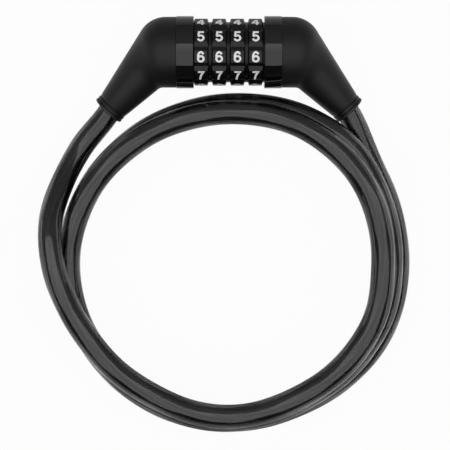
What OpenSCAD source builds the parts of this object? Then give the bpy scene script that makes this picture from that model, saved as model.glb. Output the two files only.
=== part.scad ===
// Four-dial combination cable lock, lying flat and plugged together.
// The head is two elbow housings with a collar each and the dials between them.
// Its left half carries the dials, and its right half is a plug that slides out along +X.
// One cable joins the two elbows and lies in loose loops, one pass on top of the other.
// The surface it lies on is z = 0, and the origin is under the middle of the head.

/* [Head] */
// Diameter of the two round collars
collar_d = 24; // [23:0.25:28]
// Width of each collar
collar_w = 5.5; // [5:0.1:8]
// Thickness of a collar's end wall
collar_end = 1; // [0.7:0.05:1.3]
// Wall thickness of a collar round its spigot
collar_wall = 2; // [1.7:0.05:2.3]
// Chamfer on a collar's edges
collar_chamfer = 0.3; // [0.1:0.05:0.6]
// Angle by which the head is rolled toward the loops
head_roll = 13.5; // [0:0.5:20]

/* [Elbows] */
// Step from a collar's side in to its elbow's
barrel_step = 0.35; // [0.1:0.05:0.8]
// Length of an elbow's straight barrel outside its collar
barrel_l = 4.65; // [3:0.05:10]
// Angle between the head's axis and an elbow's leg
leg_angle = 46.8; // [40:0.2:54]
// Diameter of a leg at its root
root_d = 15.8; // [15.4:0.1:18]
// Wall thickness of a leg's tip round its grommet
tip_wall = 0.3; // [0.25:0.05:0.5]
// Length of a leg from its root to its end face
leg_l = 17; // [16:0.1:22]
// Wall thickness of an elbow
elbow_wall = 1.6; // [1.2:0.05:1.8]
// Radius of an elbow's inner corner
inner_corner = 0.6; // [0.4:0.05:1.5]
// Height of the lip round a leg's end
lip_rise = 0.35; // [0.2:0.05:0.8]
// Width of the lip
lip_w = 0.8; // [0.5:0.05:1.5]
// Wall thickness of the spigot that each collar fits over
spigot_wall = 2; // [1.5:0.05:2.2]

/* [Grommets] */
// Height of a grommet's flange over its neck
grommet_rise = 0.35; // [0.2:0.05:0.8]
// Thickness of a grommet's flange
grommet_w = 0.8; // [0.5:0.05:1.5]
// Step from a leg's tip in to its grommet's neck
neck_step = 0.1; // [0.05:0.05:0.2]
// Width of the neck
neck_w = 0.4; // [0.2:0.05:0.8]
// Length of the sleeve inside the leg
sleeve_l = 3; // [2:0.1:4]
// Wall thickness of the sleeve
sleeve_wall = 0.4; // [0.3:0.02:0.5]

/* [Dials] */
// Step from the collars' sides in to the corners of the dials' flats
dial_step = 0.9; // [0.5:0.05:1.3]
// Width of a dial
dial_w = 4.9; // [4.6:0.05:5.5]
// Width of the bevel on each rim of a dial
bevel_w = 0.475; // [0.3:0.025:0.6]
// Depth of that bevel
bevel_depth = 0.9; // [0.6:0.05:1.2]
// Share of each face's angle that its flat takes
flat_share = 0.57; // [0.5:0.01:0.7]
// Depth of the valleys between the flats, below the flats' corners
valley_depth = 0.8; // [0.5:0.05:1]
// Gap on each side of a dial
dial_play = 0.05; // [0.03:0.01:0.1]
// Width of the spacers between the dials
spacer_w = 1; // [0.8:0.05:1.5]
// Step from the dials' rims in to the spacers and the end washer
spacer_step = 0.2; // [0.1:0.05:0.8]
// Thickness of the end washer
washer_w = 0.5; // [0.4:0.05:0.8]

/* [Lock works] */
// Locking pin's diameter, as a share of the collars'
pin_share = 0.21; // [0.19:0.005:0.22]
// Radial gap between the pin and the core
pin_gap = 0.1; // [0.04:0.01:0.1]
// Core's diameter, as a share of the collars'
core_share = 0.46; // [0.45:0.005:0.48]
// Radial gap between the core and the code rings
ring_gap = 0.05; // [0.03:0.01:0.1]
// Diameter of the groove inside a code ring, as a share of the collars'
groove_share = 0.575; // [0.56:0.005:0.6]
// Code ring's diameter, as a share of the collars'
ring_share = 0.685; // [0.67:0.005:0.7]
// Width by which a code ring is narrower than its dial
ring_inset = 0.4; // [0.2:0.05:0.6]
// Thickness of the web that blocks a lug
web_w = 1.7; // [1.4:0.05:2]
// Width of a lug across the pin
lug_w = 2; // [1.6:0.05:2.4]
// Length of a lug along the pin
lug_l = 1.2; // [1:0.05:1.5]
// Gap round a lug in its slot, groove and gates
lug_gap = 0.3; // [0.2:0.02:0.4]
// Thickness of the flanges inside the spigots
flange_w = 3; // [2.4:0.1:3.6]
// Thickness of the retaining clip
clip_w = 0.6; // [0.5:0.02:0.65]
// Height of the clip above the core
clip_rise = 1.5; // [1:0.05:1.8]
// Radial gap between the clip and the right collar
clip_gap = 0.6; // [0.3:0.05:1]
// Depth of the clip's groove in the core
clip_seat = 0.6; // [0.4:0.02:0.9]
// Diameter of the detent balls
ball_d = 1.6; // [1.4:0.02:1.7]
// Diameter of the detent springs
spring_d = 1.4; // [1.1:0.02:1.4]
// Wire thickness of the detent springs
spring_wire = 0.3; // [0.2:0.02:0.35]
// Length of the detent springs, pressed in
spring_l = 0.7; // [0.5:0.02:0.75]
// Diameter of the screw's thread in the left anchor
thread_d = 3; // [2.5:0.1:3.4]
// Length of thread in each anchor
thread_l = 4; // [3:0.1:5]
// Diameter of the screw's head
screw_head_d = 4.6; // [4:0.1:4.8]
// Height of the screw's head
screw_head_h = 1.2; // [1:0.05:1.5]

/* [Cable ends] */
// Outer diameter of the ferrules
ferrule_d = 8; // [7.6:0.1:8.4]
// Length of the ferrules
ferrule_l = 10.5; // [9:0.1:11]
// Depth of the rope's bore in a ferrule
ferrule_bore_l = 7; // [5:0.1:8]
// Distance from a leg's root to its ferrule's mouth
ferrule_mouth = 7.5; // [7:0.1:8]
// Diameter of an anchor behind its flange
anchor_d = 12.4; // [11:0.1:13]
// Length of an anchor behind its flange
anchor_l = 8.5; // [8:0.1:9.5]
// Wall thickness of an anchor round its ferrule
anchor_wall = 0.7; // [0.5:0.05:0.9]
// Distance that an anchor's sleeve reaches past the leg's root
anchor_reach = 5; // [4:0.1:5.5]
// Thickness of an anchor behind its ferrule
anchor_floor = 3; // [2.5:0.1:3.5]

/* [Cable] */
// Diameter of the cable
cable_d = 8; // [7.4:0.05:8]
// Diameter of the steel rope inside the cable
rope_d = 5.4; // [4.6:0.05:5.6]
// Gap between one pass of the cable and the pass below it
pass_gap = 0.5; // [0.3:0.05:1]
// Radial gap between the rope and the jacket
rope_gap = 0.15; // [0.12:0.01:0.25]
// Radial gap between the cable and what it goes into
cable_gap = 0.3; // [0.2:0.02:0.4]

/* [Hidden] */

$fn = 64;
DIALS = 4;
FACES = 10;

// The cable's loops, as chosen points: turn angle, radius and height.
// Angles count on from turn to turn, anticlockwise from +X, about the loops' middle.
// The heights are for passes that lie PASS_RISE above one another.
LOOP_X = -2;
LOOP_DROP = 60;
PASS_RISE = 8.5;
LOOPS = [
    [140, 62.5, 7], [150, 61, 10], [165, 59, 17.5], [180, 55.5, 20.5], [195, 52, 21.5],
    [210, 49.5, 21.5], [240, 47.5, 21], [270, 48.5, 21], [300, 49, 21], [330, 51.5, 21],
    [345, 52.5, 21], [360, 52.5, 21], [390, 54, 21], [420, 53.5, 19.5], [450, 51.5, 17],
    [480, 51, 14.5], [510, 51.5, 13], [540, 51.5, 12.5], [570, 50.5, 12.5], [600, 50, 12.5],
    [630, 50.5, 12.5], [660, 51, 12.5], [690, 54, 12.5], [705, 55.5, 12.5], [720, 56, 12.5],
    [750, 57.5, 12.5], [765, 58.5, 12.5], [780, 57.5, 11.5], [810, 54.5, 8.5], [840, 53, 6],
    [870, 52.5, 4.5], [900, 52.5, 4], [930, 51.5, 4], [960, 51, 4], [990, 51.5, 4],
    [1020, 53, 4], [1050, 57, 4], [1065, 58.5, 4], [1080, 59, 4], [1110, 60.5, 4],
    [1120, 62.5, 5]
];
WHOLE_TURNS = 3;
RINGS_PER_LOOP = 24;
// Share of a ring's step that is kept free beside each end of the loops
EXIT_ROOM = 0.2;
CABLE_SIDES = 12;
ROPE_SIDES = 8;
ELBOW_SIDES = 48;
BEND_STEPS = 6;
BEND_EASE = 0.85;

// How far a cut reaches past the face that it opens
past = 0.5;

// Places along the head's axis, from the middle of the dial bank
dial_pitch = dial_w + 2 * dial_play + spacer_w;
bank_l = DIALS * dial_pitch - spacer_w + washer_w;
collar_x = bank_l / 2;
collar_back = collar_x + collar_w;
flange_x = collar_x + collar_end;
flange_back = flange_x + flange_w;
washer_x = collar_x - washer_w;
function dial_x(i) = -collar_x + dial_play + dial_w / 2 + i * dial_pitch;

// Diameters from the collars inward
barrel_d = collar_d - 2 * barrel_step;
spigot_d = collar_d - 2 * collar_wall;
spigot_bore = spigot_d - 2 * spigot_wall;
dial_d = collar_d - 2 * dial_step;
bevel_d = dial_d - 2 * bevel_depth;
spacer_d = bevel_d - 2 * spacer_step;

// Outline of a dial: the two corners of each flat and the valley after it
dial_outline = [
    for (k = [0:FACES - 1], p = [[-flat_share, 0], [flat_share, 0], [1, valley_depth]])
        let (a = 180 / FACES * (2 * k + p[0]), r = dial_d / 2 - p[1]) [-r * cos(a), r * sin(a)]
];

// Diameters from the cable outward
guide_bore = cable_d + 2 * cable_gap;
sleeve_d = guide_bore + 2 * sleeve_wall;
tip_d = sleeve_d + 2 * tip_wall;
lip_d = tip_d + 2 * lip_rise;
neck_d = tip_d - 2 * neck_step;
grommet_d = neck_d + 2 * grommet_rise;

// Diameters from the pin outward
pin_d = pin_share * collar_d;
core_bore = pin_d + 2 * pin_gap;
core_d = core_share * collar_d;
ring_bore = core_d + 2 * ring_gap;
groove_d = groove_share * collar_d;
ring_d = ring_share * collar_d;
lug_reach = groove_d / 2 - lug_gap;
gate_w = lug_w + 2 * lug_gap;
gate_reach = groove_d / 2;
clip_d = core_d + 2 * clip_rise;
clip_bore = core_d - 2 * clip_seat;
clip_room_d = clip_d + 2 * clip_gap;

// Places across the code rings, from each dial's middle
ring_w = dial_w - ring_inset;
web_x = ring_w / 2 - web_w;
lug_x = web_x - lug_gap - lug_l;
core_end = collar_x + clip_w + lug_gap;
slot_x = dial_x(0) + lug_x - lug_gap;
pin_tip = slot_x;

// The elbow's bend turns about a corner outside its inner side
bend_x = collar_back + barrel_l;
corner_y = -barrel_d / 2 - inner_corner;
function bend_d(f) = barrel_d - (barrel_d - root_d) * pow(f, BEND_EASE);
function bend_centre(f, d) =
    let (a = leg_angle * f, reach = inner_corner + d / 2)
    [-bend_x - reach * sin(a), corner_y + reach * cos(a), 0];
root_c = bend_centre(1, root_d);
leg_way = [-cos(leg_angle), -sin(leg_angle), 0];
function on_leg(s) = root_c + s * leg_way;

// Places along a leg, from its root
cable_exit = leg_l + neck_w + grommet_w;
jacket_end = ferrule_mouth + cable_gap;
rope_end = ferrule_mouth - ferrule_bore_l + cable_gap;
cavity_end = jacket_end;
anchor_floor_s = ferrule_mouth - ferrule_l - anchor_floor;

// The head's place, with the origin under the middle of the object without its cable
axis_z = collar_d / 2;
leg_y = leg_way[1] * cos(head_roll);
head_front = on_leg(cable_exit)[1] * cos(head_roll) - grommet_d / 2 * sqrt(1 - leg_y * leg_y);
axis_y = -(collar_d / 2 + head_front) / 2;
function rolled(v) = [
    v[0],
    v[1] * cos(head_roll) - v[2] * sin(head_roll),
    v[1] * sin(head_roll) + v[2] * cos(head_roll)
];
function placed(v) = rolled(v) + [0, axis_y, axis_z];
function mirrored(v) = [-v[0], v[1], v[2]];

// ---- The cable's centre line ----

loops_c = [LOOP_X, axis_y - collar_d / 2 - LOOP_DROP];
lift = (cable_d + pass_gap) / PASS_RISE;
exit_left = placed(on_leg(cable_exit));
exit_right = mirrored(exit_left);
way_left = rolled(leg_way);
way_right = mirrored(way_left);
// A place in the loops' own terms: turn angle, radius and height
function turned(p, turns) =
    let (v = [p[0], p[1]] - loops_c)
    [atan2(v[1], v[0]) + 360 * turns, norm(v), p[2]];
// How radius and height change with each degree of turn, on a line that leaves p along way
function slopes(p, way) =
    let (v = [p[0], p[1]] - loops_c, r = norm(v), out = v / r)
    let (degrees = (out[0] * way[1] - out[1] * way[0]) / r * 180 / PI)
    [0, (out[0] * way[0] + out[1] * way[1]) / degrees, way[2] / degrees];
STOPS = concat(
    [turned(exit_left, 0)],
    [for (stop = LOOPS) [stop[0], stop[1], stop[2] * lift]],
    [turned(exit_right, WHOLE_TURNS)]
);
LAST = len(STOPS) - 1;
SLOPES = [
    for (i = [0:LAST])
        i == 0 ? slopes(exit_left, way_left) :
        i == LAST ? slopes(exit_right, -way_right) :
        (STOPS[i + 1] - STOPS[i - 1]) / (STOPS[i + 1][0] - STOPS[i - 1][0])
];
function stop_before(t, i = 0) = i == LAST - 1 || STOPS[i + 1][0] > t ? i : stop_before(t, i + 1);
// A smooth curve through the stops, with the slopes above
function eased(t) =
    let (i = stop_before(t), span = STOPS[i + 1][0] - STOPS[i][0], u = (t - STOPS[i][0]) / span)
    (2 * u * u * u - 3 * u * u + 1) * STOPS[i]
        + (u * u * u - 2 * u * u + u) * span * SLOPES[i]
        + (3 * u * u - 2 * u * u * u) * STOPS[i + 1]
        + (u * u * u - u * u) * span * SLOPES[i + 1];
function loop_point(t) =
    let (at = eased(t))
    [loops_c[0] + at[1] * cos(t), loops_c[1] + at[1] * sin(t), max(cable_d / 2, at[2])];
ring_step = 360 / RINGS_PER_LOOP;
first_ring = ring_step * ceil(STOPS[0][0] / ring_step + EXIT_ROOM);
last_ring = ring_step * floor(STOPS[LAST][0] / ring_step - EXIT_ROOM);
LOOP_LINE = [for (t = [first_ring:ring_step:last_ring]) loop_point(t)];
function cable_line(from) = concat(
    [placed(on_leg(from)), exit_left],
    LOOP_LINE,
    [exit_right, mirrored(placed(on_leg(from)))]
);

// ---- Rings of points and the faces between them ----

function unit(v) = v / norm(v);
// The direction of a line at its point i; the straight ends keep the legs' direction
function heading(line, i) =
    let (last = len(line) - 1)
    i <= 1 ? unit(line[1] - line[0]) :
    i >= last - 1 ? unit(line[last] - line[last - 1]) :
    unit(line[i + 1] - line[i - 1]);
function ring_round(c, way, r, sides) =
    let (side = unit(cross(way, [0, 0, 1])), up = cross(side, way))
    [for (k = [0:sides - 1]) c + r * (cos(360 * k / sides) * side + sin(360 * k / sides) * up)];
function tube_points(line, d, sides) =
    [for (i = [0:len(line) - 1]) each ring_round(line[i], heading(line, i), d / 2, sides)];
// Two triangles on each side between the rings that start at points a and b
function band(a, b, sides) = [
    for (k = [0:sides - 1])
        let (n = (k + 1) % sides)
        each [[a + k, a + n, b + n], [a + k, b + n, b + k]]
];
function skin(first, rings, sides) =
    [for (i = [0:rings - 2]) each band(first + i * sides, first + (i + 1) * sides, sides)];
function fan(first, sides) = [for (k = [1:sides - 2]) [first, first + k + 1, first + k]];
function turned_over(faces) = [for (f = faces) [f[2], f[1], f[0]]];

module solid_loft(points, sides) {
    rings = len(points) / sides;
    polyhedron(points, concat(
        skin(0, rings, sides),
        fan(0, sides),
        turned_over(fan((rings - 1) * sides, sides))
    ));
}

module hollow_tube(line, d, bore, sides) {
    rings = len(line);
    inner = rings * sides;
    ends = (rings - 1) * sides;
    polyhedron(concat(tube_points(line, d, sides), tube_points(line, bore, sides)), concat(
        skin(0, rings, sides),
        turned_over(skin(inner, rings, sides)),
        turned_over(band(0, inner, sides)),
        band(ends, inner + ends, sides)
    ));
}

// The cable's least gap to itself, from each ring's middle to each stretch of a neighbouring pass
function to_stretch(p, a, b) =
    let (ab = b - a, u = max(0, min(1, (p - a) * ab / (ab * ab))))
    norm(p - a - u * ab);
least_gap = min([
    for (i = [0:len(LOOP_LINE) - 1], j = [0:len(LOOP_LINE) - 2])
        if (abs(i - j) > RINGS_PER_LOOP / 2)
            to_stretch(LOOP_LINE[i], LOOP_LINE[j], LOOP_LINE[j + 1])
]) - cable_d;
function line_length(line) = len(line) < 2 ? 0 :
    [for (i = [0:len(line) - 2]) norm(line[i + 1] - line[i])] * [for (i = [0:len(line) - 2]) 1];
echo(least_gap = least_gap, cable_length = line_length(cable_line(jacket_end)));

// ---- Shapes along the head's axis and along a leg ----

module on_head() {
    translate([0, axis_y, axis_z]) rotate([head_roll, 0, 0]) children();
}

module right_side() {
    mirror([1, 0, 0]) children();
}

module x_rod(x0, x1, d) {
    translate([x0, 0, 0]) rotate([0, 90, 0]) cylinder(h = x1 - x0, d = d);
}

// A profile of [x, radius] points turned about the head's axis
module x_turned(profile) {
    rotate([0, 90, 0]) rotate_extrude() polygon([for (p = profile) [p[1], p[0]]]);
}

// Children with +Z along the left leg and the origin at distance s from its root
module along_leg(s) {
    translate(on_leg(s)) rotate([0, -90, leg_angle]) children();
}

// The way that the lugs take through rings, spacers and clip
module gate(x0, x1) {
    translate([x0, 0, -gate_w / 2]) cube([x1 - x0, gate_reach, gate_w]);
}

// ---- Housings ----

// An elbow's outer shape, or its cavity when less is its wall
module elbow_loft(from_x, to_s, less) {
    function tilted(c, d, a) = [
        for (k = [0:ELBOW_SIDES - 1])
            let (turn = 360 * k / ELBOW_SIDES)
            c + d / 2 * [-sin(a) * cos(turn), cos(a) * cos(turn), sin(turn)]
    ];
    tip_share = to_s / leg_l;
    points = concat(
        tilted([-from_x, 0, 0], barrel_d - 2 * less, 0),
        [
            for (i = [0:BEND_STEPS])
                let (f = i / BEND_STEPS, d = bend_d(f))
                each tilted(bend_centre(f, d), d - 2 * less, leg_angle * f)
        ],
        tilted(on_leg(to_s), root_d + (tip_d - root_d) * tip_share - 2 * less, leg_angle)
    );
    solid_loft(points, ELBOW_SIDES);
}

module elbow() {
    difference() {
        union() {
            x_rod(-collar_back - past, -flange_x, spigot_d);
            elbow_loft(collar_back, leg_l - lip_w / 2, 0);
            along_leg(leg_l - lip_w) cylinder(h = lip_w, d = lip_d);
        }
        elbow_loft(collar_back + elbow_wall, cavity_end, elbow_wall);
        x_rod(-bend_x, -flange_x + past, spigot_bore);
        along_leg(cavity_end - past) cylinder(h = leg_l, d = guide_bore);
        along_leg(leg_l - sleeve_l) cylinder(h = leg_l, d = sleeve_d);
    }
}

module collar(hole_d) {
    difference() {
        x_turned([
            [-collar_back, 0],
            [-collar_back, collar_d / 2 - collar_chamfer],
            [-collar_back + collar_chamfer, collar_d / 2],
            [-collar_x - collar_chamfer, collar_d / 2],
            [-collar_x, collar_d / 2 - collar_chamfer],
            [-collar_x, 0]
        ]);
        x_rod(-collar_back - past, -flange_x, spigot_d);
        x_rod(-collar_back, past - collar_x, hole_d);
    }
}

module grommet() {
    difference() {
        union() {
            along_leg(leg_l - sleeve_l) cylinder(h = sleeve_l + neck_w, d = sleeve_d);
            along_leg(leg_l) cylinder(h = neck_w + grommet_w, d = neck_d);
            along_leg(leg_l + neck_w) cylinder(h = grommet_w, d = grommet_d);
        }
        along_leg(leg_l - sleeve_l - past) cylinder(h = sleeve_l + cable_exit, d = guide_bore);
    }
}

// ---- Cable ends ----

// Metal link from the flange to the ferrule, with a threaded hole toward the flange
module anchor() {
    difference() {
        union() {
            x_rod(-flange_back - anchor_l, -flange_back, anchor_d);
            along_leg(anchor_floor_s)
                cylinder(h = anchor_reach - anchor_floor_s, d = ferrule_d + 2 * anchor_wall);
        }
        along_leg(ferrule_mouth - ferrule_l) cylinder(h = ferrule_l + past, d = ferrule_d);
        x_rod(-flange_back - thread_l, past - flange_back, thread_d);
    }
}

module ferrule() {
    along_leg(ferrule_mouth - ferrule_l) difference() {
        cylinder(h = ferrule_l, d = ferrule_d);
        translate([0, 0, ferrule_l - ferrule_bore_l])
            cylinder(h = ferrule_l, d = rope_d + 2 * cable_gap);
    }
}

// ---- Lock body ----

module lock_core() {
    difference() {
        union() {
            x_rod(-flange_back, -flange_x, spigot_bore);
            x_rod(-flange_x, core_end, core_d);
        }
        x_rod(-flange_x, core_end + past, core_bore);
        x_rod(-flange_back - past, -flange_x + past, thread_d);
        gate(slot_x, core_end + past);
        difference() {
            x_rod(collar_x, collar_x + clip_w, core_d + past);
            x_rod(collar_x - past, core_end + past, clip_bore);
        }
        for (i = [0:DIALS - 1]) detent_place(i) cylinder(h = core_d / 2, d = ball_d + 2 * ring_gap);
    }
}

// Screw from the core's blind bore into the left anchor
module core_screw() {
    x_rod(-flange_back - thread_l, -flange_x, thread_d);
    x_rod(-flange_x, -flange_x + screw_head_h, screw_head_d);
}

// Children with +Z outward and the origin at the floor of a detent pocket, under a ring's web
module detent_place(i) {
    translate([dial_x(i) + web_x + web_w / 2, 0, 0]) rotate([180, 0, 0])
        translate([0, 0, core_d / 2 - ball_d - spring_l]) children();
}

module detent_springs() {
    for (i = [0:DIALS - 1]) detent_place(i) difference() {
        cylinder(h = spring_l, d = spring_d);
        translate([0, 0, -past]) cylinder(h = spring_l + 2 * past, d = spring_d - 2 * spring_wire);
    }
}

module detent_balls() {
    for (i = [0:DIALS - 1]) detent_place(i) translate([0, 0, spring_l + ball_d / 2]) sphere(d = ball_d);
}

module spacer(i) {
    x0 = dial_x(i) + dial_w / 2 + dial_play;
    difference() {
        x_rod(x0, x0 + spacer_w, spacer_d);
        x_rod(x0 - past, x0 + spacer_w + past, core_d);
        gate(x0 - past, x0 + spacer_w + past);
    }
}

module end_washer() {
    difference() {
        x_rod(washer_x, collar_x, spacer_d);
        x_rod(washer_x - past, collar_x + past, core_d);
        gate(washer_x - past, collar_x + past);
    }
}

module retaining_clip() {
    difference() {
        x_rod(collar_x, collar_x + clip_w, clip_d);
        x_rod(collar_x - past, core_end + past, clip_bore);
        translate([collar_x - past, 0, -gate_w / 2]) cube([clip_w + 2 * past, clip_d, gate_w]);
    }
}

// ---- Dials ----

// Dial with bevelled rims and ten raised flats with a valley between each two; flat 0 looks up
module dial(i) {
    x0 = dial_x(i) - dial_w / 2;
    x1 = dial_x(i) + dial_w / 2;
    difference() {
        intersection() {
            translate([x0, 0, 0]) rotate([0, 90, 0]) linear_extrude(height = dial_w) polygon(dial_outline);
            x_turned([
                [x0, 0], [x0, bevel_d / 2], [x0 + bevel_w, dial_d / 2],
                [x1 - bevel_w, dial_d / 2], [x1, bevel_d / 2], [x1, 0]
            ]);
        }
        x_rod(x0 - past, x1 + past, ring_d);
    }
}

// Inner ring that carries the dial's code: a groove for the lug and a web with one gate
module code_ring(i) {
    x0 = dial_x(i) - ring_w / 2;
    x1 = dial_x(i) + ring_w / 2;
    difference() {
        x_rod(x0, x1, ring_d);
        x_rod(x0 - past, dial_x(i) + web_x, groove_d);
        x_rod(x0, x1 + past, ring_bore);
        gate(x0, x1 + past);
    }
}

// ---- Plug ----

module locking_pin() {
    x_rod(flange_x, flange_back, spigot_bore);
    x_rod(flange_back - past, flange_back + thread_l, thread_d);
    x_rod(pin_tip, flange_x + past, pin_d);
    for (i = [0:DIALS - 1]) translate([dial_x(i) + lug_x, 0, -lug_w / 2]) cube([lug_l, lug_reach, lug_w]);
}

// ---- Cable ----

module cable_jacket() {
    hollow_tube(cable_line(jacket_end), cable_d, rope_d + 2 * rope_gap, CABLE_SIDES);
}

module cable_rope() {
    solid_loft(tube_points(cable_line(rope_end), rope_d, ROPE_SIDES), ROPE_SIDES);
}

color("#242426") on_head() elbow();  // left_elbow
color("#1b1b1d") on_head() collar(core_d);  // left_collar
color("#1e1e20") on_head() grommet();  // left_grommet
color("#a9abad") on_head() anchor();  // left_anchor
color("#c2c4c6") on_head() ferrule();  // left_ferrule
color("#b8babc") on_head() core_screw();
color("#9a9c9f") on_head() lock_core();
color("#cfd1d3") on_head() detent_springs();
color("#d8dadc") on_head() detent_balls();
color("#141416") on_head() spacer(0);  // spacer_1
color("#141416") on_head() spacer(1);  // spacer_2
color("#141416") on_head() spacer(2);  // spacer_3
color("#141416") on_head() end_washer();
color("#8c8e90") on_head() retaining_clip();
color("#17171a") on_head() dial(0);  // dial_1
color("#17171a") on_head() dial(1);  // dial_2
color("#17171a") on_head() dial(2);  // dial_3
color("#17171a") on_head() dial(3);  // dial_4
color("#b3a36a") on_head() code_ring(0);  // code_ring_1
color("#b3a36a") on_head() code_ring(1);  // code_ring_2
color("#b3a36a") on_head() code_ring(2);  // code_ring_3
color("#b3a36a") on_head() code_ring(3);  // code_ring_4
color("#b8babc") on_head() locking_pin();
color("#1b1b1d") on_head() right_side() collar(clip_room_d);  // right_collar
color("#242426") on_head() right_side() elbow();  // right_elbow
color("#1e1e20") on_head() right_side() grommet();  // right_grommet
color("#a9abad") on_head() right_side() anchor();  // right_anchor
color("#c2c4c6") on_head() right_side() ferrule();  // right_ferrule
color("#2b2b2c") cable_jacket();
color("#8a8c8e") cable_rope();
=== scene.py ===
"""Looks of a four-dial combination cable lock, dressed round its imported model.

The sizes in the classes are in millimetres, and those of the studio and the finishes in metres. Places on
the head are in its own frame, before it is rolled: X runs along the head's axis, -Y points toward the
cable's loops, and the axis is at zero.
"""
import logging
import math
from dataclasses import dataclass, field
from enum import Enum
from typing import ClassVar, Iterable, Sequence

import bmesh
import bpy
from mathutils import Matrix, Vector


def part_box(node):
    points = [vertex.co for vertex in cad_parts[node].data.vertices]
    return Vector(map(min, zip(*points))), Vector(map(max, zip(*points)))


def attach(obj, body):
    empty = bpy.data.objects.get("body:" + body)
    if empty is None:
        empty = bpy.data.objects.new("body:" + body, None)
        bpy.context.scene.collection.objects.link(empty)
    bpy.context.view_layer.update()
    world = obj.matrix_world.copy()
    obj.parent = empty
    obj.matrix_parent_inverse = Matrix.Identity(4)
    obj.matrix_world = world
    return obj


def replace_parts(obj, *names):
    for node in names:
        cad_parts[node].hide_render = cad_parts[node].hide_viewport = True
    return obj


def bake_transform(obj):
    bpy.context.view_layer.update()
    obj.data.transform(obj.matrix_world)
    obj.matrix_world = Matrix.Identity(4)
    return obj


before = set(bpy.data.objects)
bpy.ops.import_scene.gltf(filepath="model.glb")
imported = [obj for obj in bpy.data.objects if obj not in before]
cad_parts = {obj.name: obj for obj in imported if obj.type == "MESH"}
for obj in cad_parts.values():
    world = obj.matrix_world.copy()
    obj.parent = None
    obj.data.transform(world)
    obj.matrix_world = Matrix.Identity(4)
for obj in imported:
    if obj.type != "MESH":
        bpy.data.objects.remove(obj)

LOG = logging.getLogger("cable_lock")
MM = 0.001
SHARP_DEG = 32.0
MERGE_MM = 1e-4
CABLE_PLACE = "cable_place"
Shape = bmesh.types.BMesh
Socket = bpy.types.NodeSocket
Value = Socket | float | Sequence[float]
Pair = tuple[float, float]
Triple = tuple[float, float, float]


class Side(Enum):
    """The head's two halves, by how each lies along the axis."""

    LEFT = 1
    RIGHT = -1

    @property
    def body(self) -> str:
        """Gives the body that the half rides on."""
        return "lock_body" if self is Side.LEFT else "plug"

    @property
    def word(self) -> str:
        """Gives the half's word in the names of its pieces."""
        return self.name.lower()


@dataclass(frozen=True)
class HeadPlace:
    """The head's axis, and its roll toward the loops."""

    axis_y: float
    axis_z: float
    roll: float = math.radians(13.5)

    @classmethod
    def of_collar(cls, node: str) -> "HeadPlace":
        """Takes the axis from the middle of a round collar's CAD node."""
        low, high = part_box(node)
        return cls((low.y + high.y) / 2 / MM, (low.z + high.z) / 2 / MM)

    def matrix(self, side: Side = Side.LEFT) -> Matrix:
        """Gives the way from the head's frame, in millimetres, to the scene, in metres.

        Args:
            side: The half that is placed. The right half is the left one mirrored.

        Returns:
            The matrix.
        """
        return (
            Matrix.Scale(MM, 4)
            @ Matrix.Translation((0, self.axis_y, self.axis_z))
            @ Matrix.Rotation(self.roll, 4, "X")
            @ Matrix.Scale(side.value, 4, (1, 0, 0))
        )


# ---- Shaping ----


def frame_of(centre: Vector, x: Vector, y: Vector, z: Vector) -> Matrix:
    """Makes the matrix whose columns are three directions and a centre."""
    return Matrix.Translation(centre) @ Matrix((x, y, z)).transposed().to_4x4()


def circle(radius: float, sides: int) -> list[Vector]:
    """Gives the points of a round outline."""
    turns = [math.tau * k / sides for k in range(sides)]
    return [Vector((radius * math.cos(t), radius * math.sin(t), 0)) for t in turns]


def woven(
    rings: Sequence[Sequence[Vector]], capped: bool = True, places: Sequence[Sequence[Vector]] | None = None
) -> Shape:
    """Wraps a grid round rings of points, into a tube.

    Args:
        rings: The rings in order, each with as many points.
        capped: Whether the two ends are closed. Otherwise the last ring meets the first.
        places: What each point keeps in its place attribute, laid out as the rings are.

    Returns:
        The shape.
    """
    shape = bmesh.new()
    sides = len(rings[0])
    bmesh.ops.create_grid(shape, x_segments=sides, y_segments=len(rings) - 1, size=1.0)
    layer = shape.verts.layers.float_vector.new(CABLE_PLACE) if places else None
    shape.verts.index_update()
    for v in shape.verts:
        row, k = divmod(v.index, sides + 1)
        v.co = rings[row][k % sides]
        if layer:
            v[layer] = places[row][k % sides]
    bmesh.ops.remove_doubles(shape, verts=shape.verts, dist=MERGE_MM)
    if capped:
        bmesh.ops.holes_fill(shape, edges=[e for e in shape.edges if e.is_boundary], sides=0)
    return shape


def swept(
    outline: Sequence[Vector], frames: Sequence[Matrix], capped: bool = True,
    along: Sequence[float] | None = None,
) -> Shape:
    """Makes a tube whose closed outline goes from frame to frame.

    Args:
        outline: The outline's points in its own XY plane.
        frames: The frames that the outline passes through. They may differ in scale.
        capped: Whether the two ends are closed. Otherwise the last ring meets the first.
        along: How far along each frame is, where the points keep that and their places across.

    Returns:
        The shape.
    """
    rings = [[frame_ @ p for p in outline] for frame_ in frames]
    places = [[Vector((a, p.x, p.y)) for p in outline] for a in along] if along else None
    return woven(rings, capped, places)


def lathed(profile: Sequence[Pair], steps: int) -> Shape:
    """Turns a closed profile about the X axis.

    Args:
        profile: The profile's points, each its place along X and its radius.
        steps: The number of steps in the full turn.

    Returns:
        The turned shape.
    """
    shape = bmesh.new()
    points = [shape.verts.new((x, 0, r)) for x, r in profile]
    edges = [shape.edges.new(pair) for pair in zip(points, [*points[1:], points[0]])]
    bmesh.ops.spin(
        shape, geom=points + edges, cent=(0, 0, 0), axis=(1, 0, 0), dvec=(0, 0, 0),
        angle=math.tau, steps=steps, use_merge=True, use_duplicate=False,
    )
    bmesh.ops.remove_doubles(shape, verts=shape.verts, dist=MERGE_MM)
    bmesh.ops.dissolve_degenerate(shape, edges=shape.edges, dist=MERGE_MM)
    return shape


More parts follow.
